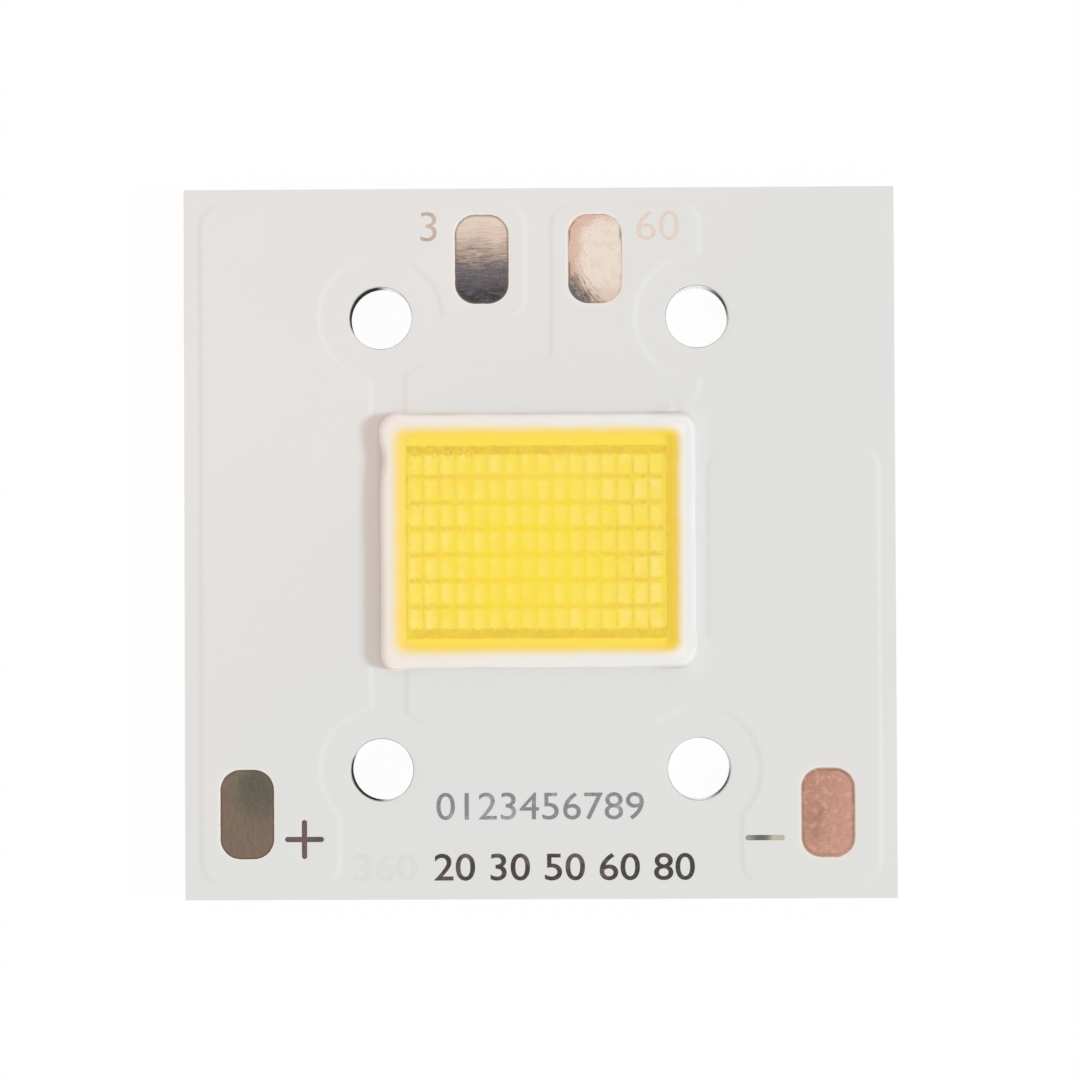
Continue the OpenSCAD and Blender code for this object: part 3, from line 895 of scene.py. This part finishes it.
def dam_ring_points(look, offset):
    """A closed ring round the light area, offset outwards from the middle of the bead."""
    radius = look.crown_radius + CORNER_GROWTH * offset
    mid = np.array((DAM_LOW + DAM_HIGH) / 2)[:2]
    reach = (np.array(DAM_HIGH)[:2] - np.array(DAM_LOW)[:2] - look.width) / 2 + offset - radius
    share = min(1, max(0, offset / MM * 2.5))
    points = []
    for quarter, run in enumerate((LONG_STEPS, SHORT_STEPS) * 2):
        corner, after = reach * QUARTERS[quarter], reach * QUARTERS[(quarter + 1) % 4]
        turns = [(corner, quarter + step / CORNER_STEPS) for step in range(CORNER_STEPS)]
        turns += [(corner + (after - corner) * step / run, quarter + 1) for step in range(run)]
        for middle, turn in turns:
            out = np.array((math.cos(math.pi / 2 * turn), math.sin(math.pi / 2 * turn)))
            place = middle + radius * out
            waver = look.waver * noise.noise(Vector((*place, 0)) / WAVER_LENGTH)
            points.append(place + mid + (waver + strays(*place) * share) * out)
    return np.array(points)


def strays(x, y):
    """Lumps and dents in the outer flank of the hand-laid bead, outwards positive."""
    total = 0.0
    for place, amount, width in BEAD_LUMPS:
        far = (x / MM - place[0]) ** 2 + (y / MM - place[1]) ** 2
        total += amount * math.exp(-far / width ** 2)
    return total * MM


def bead_top(flat, rise):
    """Heights of the bead over a ring of points, for a share of its full height, swelling a little."""
    swell = [1 + 0.014 * noise.noise(Vector((x, y, 3 * MM)) / SWELL_LENGTH) for x, y in flat]
    return MASK_TOP + np.minimum(rise * np.array(swell), 0.99) * (DAM_HIGH.z - MASK_TOP)


def skin_of(rings, closed=False):
    """Quads between rings of the same number of points, and from the last to the first where closed."""
    count = len(rings[0])
    faces = []
    for level in range(len(rings) - 1 + closed):
        a, b = level * count, (level + 1) % len(rings) * count
        for index in range(count):
            after = (index + 1) % count
            faces.append((a + index, a + after, b + after, b + index))
    return np.concatenate(rings), faces


# Across the bead from its outer foot to its inner foot: offset from its middle, in millimetres, and share
# of its height. Inwards of it, the phosphor slopes on over a film.
BEAD_SECTION = [(0.60, -0.1), (0.575, -0.06), (0.548, -0.025), (0.522, 0.02), (0.503, 0.09), (0.493, 0.22),
                (0.49, 0.45), (0.485, 0.62), (0.474, 0.735), (0.452, 0.825), (0.416, 0.893), (0.365, 0.938),
                (0.3, 0.964), (0.22, 0.978), (0.12, 0.982), (0.02, 0.979), (-0.08, 0.972), (-0.18, 0.959),
                (-0.27, 0.941), (-0.35, 0.92), (-0.42, 0.893), (-0.465, 0.85), (-0.478, 0.7), (-0.48, -0.1)]
FILM_SLOPE = [(-0.8, 0.74), (-0.42, 0.893)]

# Lumps and dents in the flank of the bead: place, how far it stands out, and width
BEAD_LUMPS = (((-7.05, 4.9), 0.06, 0.55), ((-7.05, 3.7), -0.1, 0.65), ((-7.0, 1.2), 0.03, 0.8),
              ((-6.7, -5.45), 0.07, 0.3), ((7.05, -4.5), 0.06, 0.45), ((6.7, -5.4), -0.1, 0.4),
              ((6.2, 5.7), 0.05, 0.5), ((6.9, 5.3), -0.06, 0.4), ((7.05, 1.0), -0.03, 0.9))

# The pool of phosphor: offsets of its rings from the middle of the bead, from the edge inwards, then
# shares of the way on to the centre, and offsets along its underside
POOL_OFFSETS = (0.04, -0.02, -0.08, -0.13, -0.18, -0.22, -0.26, -0.3, -0.34, -0.38, -0.42, -0.47, -0.53,
                -0.6, -0.68, -0.78)
POOL_SHARES = (0.02, 0.05, 0.09, 0.14, 0.2, 0.28, 0.38, 0.5, 0.62, 0.74, 0.86, 0.95)
UNDERSIDE_OFFSETS = (-0.44, -0.3, -0.12, 0.04)

# Offset at which the pool meets the bead, the run of its meniscus, how far its middle sags, the fillet
# where it meets the film, and how far its underside lies in the bead
WATERLINE = -0.3
MENISCUS_RUN = 0.25
SAG = 0.1 * MM
FILLET = 0.09 * MM
UNDERSIDE_SINK = 0.02 * MM

# Where the yellow of the phosphor fades into the white of the dam
SHORE_RADIUS = 0.42
SHORE_SHIFT = (-0.105, 0.035)
SHORE_YELLOW = (0.955, 0.70, 0.11)


def shore(look):
    """Middle, half size and corner radius of the ring where the phosphor meets the dam, in millimetres."""
    mid = (DAM_LOW + DAM_HIGH) / 2 / MM
    half = (DAM_HIGH - DAM_LOW) / 2 / MM
    inset = look.width / MM / 2 - WATERLINE
    return (mid.x + SHORE_SHIFT[0], mid.y + SHORE_SHIFT[1]), (half.x - inset, half.y - inset), SHORE_RADIUS


# ---------------------------------------------------------------- operators

# Half the table's width, in metres
TABLE_REACH = 2.0


class LED_OT_stage(bpy.types.Operator):
    """White table, soft light and the camera above the board"""
    bl_idname = "led.stage"
    bl_label = "Stage"

    def execute(self, context):
        scene, look = context.scene, context.scene.led_stage
        scene.view_settings.view_transform = "Standard"
        scene.world = bpy.data.worlds.new("studio")
        scene.world.use_nodes = True
        self.light_studio(NodeTree(scene.world.node_tree), tuple(look.sky))
        self.lay_table(scene, look.table_glow)
        self.hang_key_light(scene, look)
        self.aim_camera(scene, look)
        return {"FINISHED"}

    def light_studio(self, studio, sky):
        """Soft light of one colour from all round, and plain white to look at."""
        studio.nodes.clear()
        light = studio.add("ShaderNodeBackground", {"Color": sky})
        white = studio.add("ShaderNodeBackground", {"Color": (1, 1, 1)})
        mixed = studio.add("ShaderNodeMixShader", {0: studio.seen(), 1: light, 2: white})
        studio.put(mixed, studio.nodes.new("ShaderNodeOutputWorld").inputs[0])

    def lay_table(self, scene, glow):
        """A wide white table just below the board."""
        mesh = bpy.data.meshes.new("table")
        mesh.from_pydata([(x * TABLE_REACH, y * TABLE_REACH, -GAP) for x, y in QUARTERS],
                         [], [(0, 1, 2, 3)])
        table = bpy.data.objects.new("table", mesh)
        scene.collection.objects.link(table)
        mesh.materials.append(self.table_white(glow))

    def table_white(self, glow):
        """Matt white that takes soft shadows, and shows a share of its own white."""
        material = bpy.data.materials.new("table white")
        material.use_nodes = True
        tree = NodeTree(material.node_tree)
        shader = tree.nodes["Principled BSDF"]
        tree.put((1, 1, 1), shader.inputs["Base Color"])
        tree.put(0.9, shader.inputs["Roughness"])
        tree.put(0.0, shader.inputs["Specular IOR Level"])
        matt, bright = Value(tree, shader.outputs[0]), tree.add("ShaderNodeEmission")
        mixed = tree.add("ShaderNodeMixShader", {0: tree.seen() * glow, 1: matt, 2: bright})
        tree.put(mixed, tree.nodes["Material Output"].inputs[0])
        return material

    def hang_key_light(self, scene, look):
        """A wide, cool light that falls in low from the right."""
        lamp = bpy.data.lights.new("key light", "SUN")
        lamp.color = look.key
        lamp.energy = look.key_strength
        lamp.angle = look.key_spread
        key = bpy.data.objects.new("key light", lamp)
        side = math.cos(look.key_height)
        stand = Vector((side * math.cos(look.key_swing), -side * math.sin(look.key_swing),
                        math.sin(look.key_height)))
        key.rotation_euler = (-stand).to_track_quat("-Z", "Y").to_euler()
        scene.collection.objects.link(key)

    def aim_camera(self, scene, look):
        """The camera, leaning a little from straight above the board."""
        camera = bpy.data.cameras.new("camera")
        camera.lens = look.lens
        camera.clip_start = 0.001
        eye = bpy.data.objects.new("camera", camera)
        lean = Euler(look.tilt).to_matrix().to_4x4()
        eye.matrix_world = lean @ Matrix.Translation((*look.aim, look.distance))
        scene.collection.objects.link(eye)
        scene.camera = eye


# The mask's triangles follow each opening at these distances, and its grid starts at the rim's width
RIM_LINES = (0.025 * MM, 0.06 * MM, 0.11 * MM)
RIM_WIDTH = 0.14 * MM
SHOULDER_RUN = 0.11 * MM
HOLE_RIM = 0.06 * MM

# Spacing of the grid away from the steps, and from where to where a step reaches, in runs of a step
COARSE_GRID = 0.5 * MM
STEP_REACH = (-1.6, 0.7)
HAIR = 1e-7


class LED_OT_mask(bpy.types.Operator):
    """White solder mask, draped over the copper, with openings for pads, signs, holes and dam"""
    bl_idname = "led.mask"
    bl_label = "Solder mask"

    def execute(self, context):
        look, dam = context.scene.led_mask, context.scene.led_dam
        outer = np.array(((BOARD_LOW.x, BOARD_LOW.y), (BOARD_HIGH.x, BOARD_LOW.y),
                          (BOARD_HIGH.x, BOARD_HIGH.y), (BOARD_LOW.x, BOARD_HIGH.y)))
        openings = self.openings(look, dam, 0)
        beside = zip(*(self.openings(look, dam, grow) for grow in RIM_LINES))
        rims = [outline for opening in beside for outline in opening]
        foils = [top_edges(name) for name in FOILS]
        points = self.inner_points(look, foils)
        for outline in self.openings(look, dam, RIM_WIDTH):
            points = points[inside_distance(points, edges_of(outline)) < 0]
        flat, faces = cut_sheet(outer, openings, rims, points)

        climb = smooth((depth_in(flat, foils) + look.step_run) / (1.12 * look.step_run))
        cuts = [edges_of(opening) for opening in openings]
        near = np.maximum(depth_in(flat, cuts), -inside_distance(flat, edges_of(outer)))
        top = DIELECTRIC_TOP + MASK_T + FOIL_T * (look.levelling + (1 - look.levelling) * climb)
        top = top - look.shoulder * (1 - smooth(-near / SHOULDER_RUN))
        points, solid = close_sheet(flat, faces, top, DIELECTRIC_TOP + FOIL_T * climb)
        piece = add_piece("mask_coat", points, solid, replaces=("solder_mask",))
        mark(piece, "pad_rim", 1 + depth_in(points[:, :2], cuts[:len(PADS)]) / RIM_WIDTH)
        away = np.min([np.hypot(*(points[:, :2] - np.array(place)).T) for place in HOLES], axis=0)
        mark(piece, "hole_rim", 1 - (away - HOLE_R) / HOLE_RIM)
        paint(piece, mask_finish(look))
        return {"FINISHED"}

    def openings(self, look, dam, grow):
        """Outlines of all openings, in order pads, holes, signs and dam, each wider by grow all round."""
        pads = [rounded_box(mount_place(name), look.pad_width + 2 * grow, look.pad_length + 2 * grow,
                            look.pad_radius + grow) for name in PADS]
        holes = [ring(place, HOLE_R + grow) for place in HOLES]
        plus = mount_place("positive_lead_pad").to_2d() + Vector(look.plus_place)
        minus = mount_place("negative_lead_pad").to_2d() + Vector(look.minus_place)
        length, stroke = look.sign_length + 2 * grow, look.sign_stroke + 2 * grow
        signs = [plus_sign(plus, length, stroke), rounded_box(minus, length, stroke, stroke / 2 - HAIR)]
        bead = rounded_box((DAM_LOW + DAM_HIGH) / 2, DAM_HIGH.x - DAM_LOW.x - dam.width + 2 * grow,
                           DAM_HIGH.y - DAM_LOW.y - dam.width + 2 * grow, dam.crown_radius + grow)
        return [*pads, *holes, *signs, bead]

    def inner_points(self, look, foils):
        """Points of the sheet, close together on the steps over the foils and wide apart elsewhere."""
        low, high = (reach * look.step_run for reach in STEP_REACH)
        kept = []
        for spacing, on_step in ((look.grid, True), (COARSE_GRID, False)):
            points = self.grid(spacing)
            depth = depth_in(points, foils)
            kept.append(points[((depth > low) & (depth < high)) == on_step])
        return np.concatenate(kept)

    def grid(self, spacing):
        """Staggered rows of points over the square board."""
        count = int((BOARD_HIGH.x - BOARD_LOW.x) / spacing)
        steps = BOARD_LOW.x + (np.arange(count - 1) + 1) * (BOARD_HIGH.x - BOARD_LOW.x) / count
        xs, ys = np.meshgrid(steps, steps)
        shift = (np.arange(len(steps)) % 2)[:, None] * spacing / 2 - spacing / 4
        return np.column_stack(((xs + shift).ravel(), ys.ravel()))


class LED_OT_dam(bpy.types.Operator):
    """Bead of white silicone round the light area"""
    bl_idname = "led.dam"
    bl_label = "Silicone dam"

    def execute(self, context):
        look = context.scene.led_dam
        rings = []
        for offset, rise in BEAD_SECTION:
            flat = dam_ring_points(look, offset * MM)
            rings.append(np.column_stack((flat, bead_top(flat, rise))))
        points, faces = skin_of(rings, closed=True)
        piece = add_piece("dam_bead", points, faces, sharp=60, replaces=("dam_ring",))
        paint(piece, dam_finish(look))
        return {"FINISHED"}


class LED_OT_phosphor(bpy.types.Operator):
    """Yellow phosphor that fills the dam, with its meniscus"""
    bl_idname = "led.phosphor"
    bl_label = "Phosphor"

    def execute(self, context):
        look, dam = context.scene.led_phosphor, context.scene.led_dam
        top = box_of("phosphor_fill")[1].z
        floor = box_of(*WIRE_ROWS)[1].z + GAP
        rings = []
        for offset in POOL_OFFSETS:
            flat, bank = self.bank(dam, offset)
            pool = top - look.meniscus * min(1, max(0, (WATERLINE - offset) / MENISCUS_RUN))
            rings.append(np.column_stack((flat, soft_higher(bank + dam.film, pool, FILLET))))
        edge = rings[-1]
        mid, level, lowest = edge.mean(0), edge[:, 2].mean(), top - SAG
        for share in POOL_SHARES:
            flat = mid[:2] + (edge[:, :2] - mid[:2]) * (1 - share)
            dished = lowest + (level - lowest) * (1 - share) ** 2
            rings.append(np.column_stack((flat, np.full(len(flat), dished))))
        underside = []
        for offset in UNDERSIDE_OFFSETS:
            flat, bank = self.bank(dam, offset)
            underside.append(np.column_stack((flat, bank - UNDERSIDE_SINK)))
        outer = underside[0][:, :2]
        bottom = np.column_stack((outer, np.full(len(outer), floor)))
        points, faces = skin_of([bottom, *underside, *rings])
        points = np.concatenate((points, [(mid[0], mid[1], lowest)]))
        count, centre = len(outer), len(points) - 1
        last = centre - count
        faces += [(last + index, last + (index + 1) % count, centre) for index in range(count)]
        faces.append(tuple(range(count - 1, -1, -1)))
        piece = add_piece("phosphor_pool", points, faces, sharp=60, replaces=("phosphor_fill",))
        paint(piece, phosphor_finish(look, dam))
        return {"FINISHED"}

    def bank(self, dam, offset):
        """A ring at an offset from the middle of the bead, and the height of the bead or its film there."""
        inner = FILM_SLOPE + [part for part in reversed(BEAD_SECTION) if -0.4 < part[0] <= 0.1]
        flat = dam_ring_points(dam, offset * MM)
        return flat, bead_top(flat, np.interp(offset, *zip(*inner)))


# Height of the numbers beside the link pads, in millimetres
LINK_HEIGHT = 1.32

# What the numbers are made of: colour, its light and dark dots, and how metallic it is
INKS = {
    "copper": ((0.5, 0.4, 0.34), (0.66, 0.5, 0.42), (0.36, 0.27, 0.22), 0.6),
    "pale copper": ((0.76, 0.62, 0.53), (0.72, 0.7, 0.68), (0.66, 0.45, 0.36), 0.5),
    "ink grey": ((0.235, 0.235, 0.25), (0.4, 0.4, 0.42), (0.15, 0.15, 0.165), 0.0),
    "tarnish": ((0.058, 0.05, 0.05), (0.16, 0.115, 0.09), (0.035, 0.03, 0.03), 0.3),
    "ghost": ((0.715, 0.71, 0.69), (0.73, 0.725, 0.71), (0.69, 0.685, 0.665), 0.0),
}


class LED_OT_signs(bpy.types.Operator):
    """Plain numbers beside the link pads and along the bottom edge"""
    bl_idname = "led.signs"
    bl_label = "Numbers"

    def execute(self, context):
        look = context.scene.led_signs
        link, row = LINK_HEIGHT, look.height / MM
        # Text, piece, place, size, boldness, ink and slot
        rows = (("left", "number_left", (-4.94, 14.28), (0.72, link), -0.008, "copper", "copper"),
                ("right", "number_right", (5.4, 14.28), (1.9, link), -0.006, "pale copper", "copper"),
                ("upper", "numbers_upper", (-0.03, -11.82), (9.32, row), 0.0, "ink grey", "white_mask"),
                ("lower", "numbers_lower", (1.06, -14.55), (11.7, row), 0.006, "tarnish", "copper"),
                ("ghost", "numbers_ghost", (-6.95, -14.55), (2.85, row), 0.02, "ghost", "white_mask"))
        for key, name, place, size, bold, ink, slot in rows:
            points, faces = self.letters(context, getattr(look, key), name, bold)
            piece = self.number(name, points, faces, Vector(place) * MM, np.array(size) * MM,
                                look.thickness, slot)
            paint(piece, number_finish(ink))
        return {"FINISHED"}

    def letters(self, context, text, name, bold):
        """Points and faces of a line of text, bolder or thinner by an offset."""
        curve = bpy.data.curves.new(name, "FONT")
        curve.body = text
        curve.resolution_u = 6
        curve.offset = bold
        curve.extrude = 0.5
        sketch = bpy.data.objects.new(name + "_sketch", curve)
        context.collection.objects.link(sketch)
        solid = bpy.data.meshes.new_from_object(sketch.evaluated_get(context.evaluated_depsgraph_get()))
        bpy.data.objects.remove(sketch)
        bpy.data.curves.remove(curve)
        shape = bmesh.new()
        shape.from_mesh(solid)
        bpy.data.meshes.remove(solid)
        bmesh.ops.remove_doubles(shape, verts=shape.verts, dist=1e-5)
        points = np.array([tuple(vertex.co) for vertex in shape.verts])
        faces = [tuple(vertex.index for vertex in face.verts) for face in shape.faces]
        shape.free()
        return points, faces

    def number(self, name, points, faces, place, size, thickness, slot):
        """A number of a given size, set into the mask around its place."""
        mask = bpy.data.objects["mask_coat"]
        hit, ground, *_ = mask.ray_cast(Vector((*place, DAM_HIGH.z)), Vector((0, 0, -1)))
        if not hit:
            raise RuntimeError("no mask under " + name)
        low, high = points.min(0), points.max(0)
        flat = (points - (low + high) / 2)[:, :2] * size / (high - low)[:2] + np.array(place)
        heights = np.where(points[:, 2] > 0, ground.z + thickness, ground.z - thickness)
        return add_piece(name, np.column_stack((flat, heights)), faces)


class LED_OT_copper(bpy.types.Operator):
    """Finish of the three foils, bare in their pads and signs"""
    bl_idname = "led.copper"
    bl_label = "Copper foils"

    def execute(self, context):
        sides = ("positive", positive_pads), ("feed", feed_pad), ("negative", negative_pad)
        for side, pads in sides:
            finish = copper_finish("copper " + side + " side", pads, context.scene.led_mask)
            paint(frame["nodes"][side + "_foil"], finish)
        return {"FINISHED"}


class LED_OT_core(bpy.types.Operator):
    """Finish of the base plate, its dielectric and what the phosphor covers"""
    bl_idname = "led.core"
    bl_label = "Base, dies and wires"

    def execute(self, context):
        nodes = frame["nodes"]
        paint(nodes["base_plate"], aluminium_finish())
        resin = plain_finish("dielectric resin", (0.5, 0.44, 0.3), (0.6, 0.54, 0.4), 0.6)
        adhesive = plain_finish("die adhesive", (0.8, 0.78, 0.7), (0.9, 0.88, 0.82), 0.1)
        sapphire = plain_finish("die sapphire", (0.62, 0.72, 0.82), (0.74, 0.8, 0.86), 0.2, 0.12)
        gold = plain_finish("bond wire gold", (0.85, 0.6, 0.22), (0.95, 0.72, 0.32), 0.05, 0.25, 1.0)
        parts = ((("dielectric_layer",), resin), (("die_adhesive",), adhesive), (DIE_ROWS, sapphire),
                 (WIRE_ROWS, gold))
        for names, finish in parts:
            for name in names:
                paint(nodes[name], finish)
        return {"FINISHED"}


LOOKS = {"led_mask": MaskLook, "led_dam": DamLook, "led_phosphor": PhosphorLook, "led_signs": SignLook,
         "led_stage": StageLook}
OPERATORS = (LED_OT_stage, LED_OT_mask, LED_OT_dam, LED_OT_phosphor, LED_OT_signs, LED_OT_copper,
             LED_OT_core)


class LED_PT_panel(bpy.types.Panel):
    """The steps that dress the LED module, in order"""
    bl_idname = "LED_PT_panel"
    bl_label = "Chip-on-board LED"
    bl_space_type = "VIEW_3D"
    bl_region_type = "UI"
    bl_category = "LED"

    def draw(self, context):
        for operator in OPERATORS:
            self.layout.operator(operator.bl_idname)
        for name, look in LOOKS.items():
            box = self.layout.box()
            for key in look.__annotations__:
                box.prop(getattr(context.scene, name), key)


def register():
    for cls in (*LOOKS.values(), *OPERATORS, LED_PT_panel):
        bpy.utils.register_class(cls)
    for name, look in LOOKS.items():
        setattr(bpy.types.Scene, name, PointerProperty(type=look))


def unregister():
    for name in LOOKS:
        delattr(bpy.types.Scene, name)
    for cls in (LED_PT_panel, *reversed(OPERATORS), *reversed(list(LOOKS.values()))):
        bpy.utils.unregister_class(cls)


def main():
    register()
    for operator in OPERATORS:
        group, step = operator.bl_idname.split(".")
        getattr(getattr(bpy.ops, group), step)()


if __name__ == "__main__":
    main()
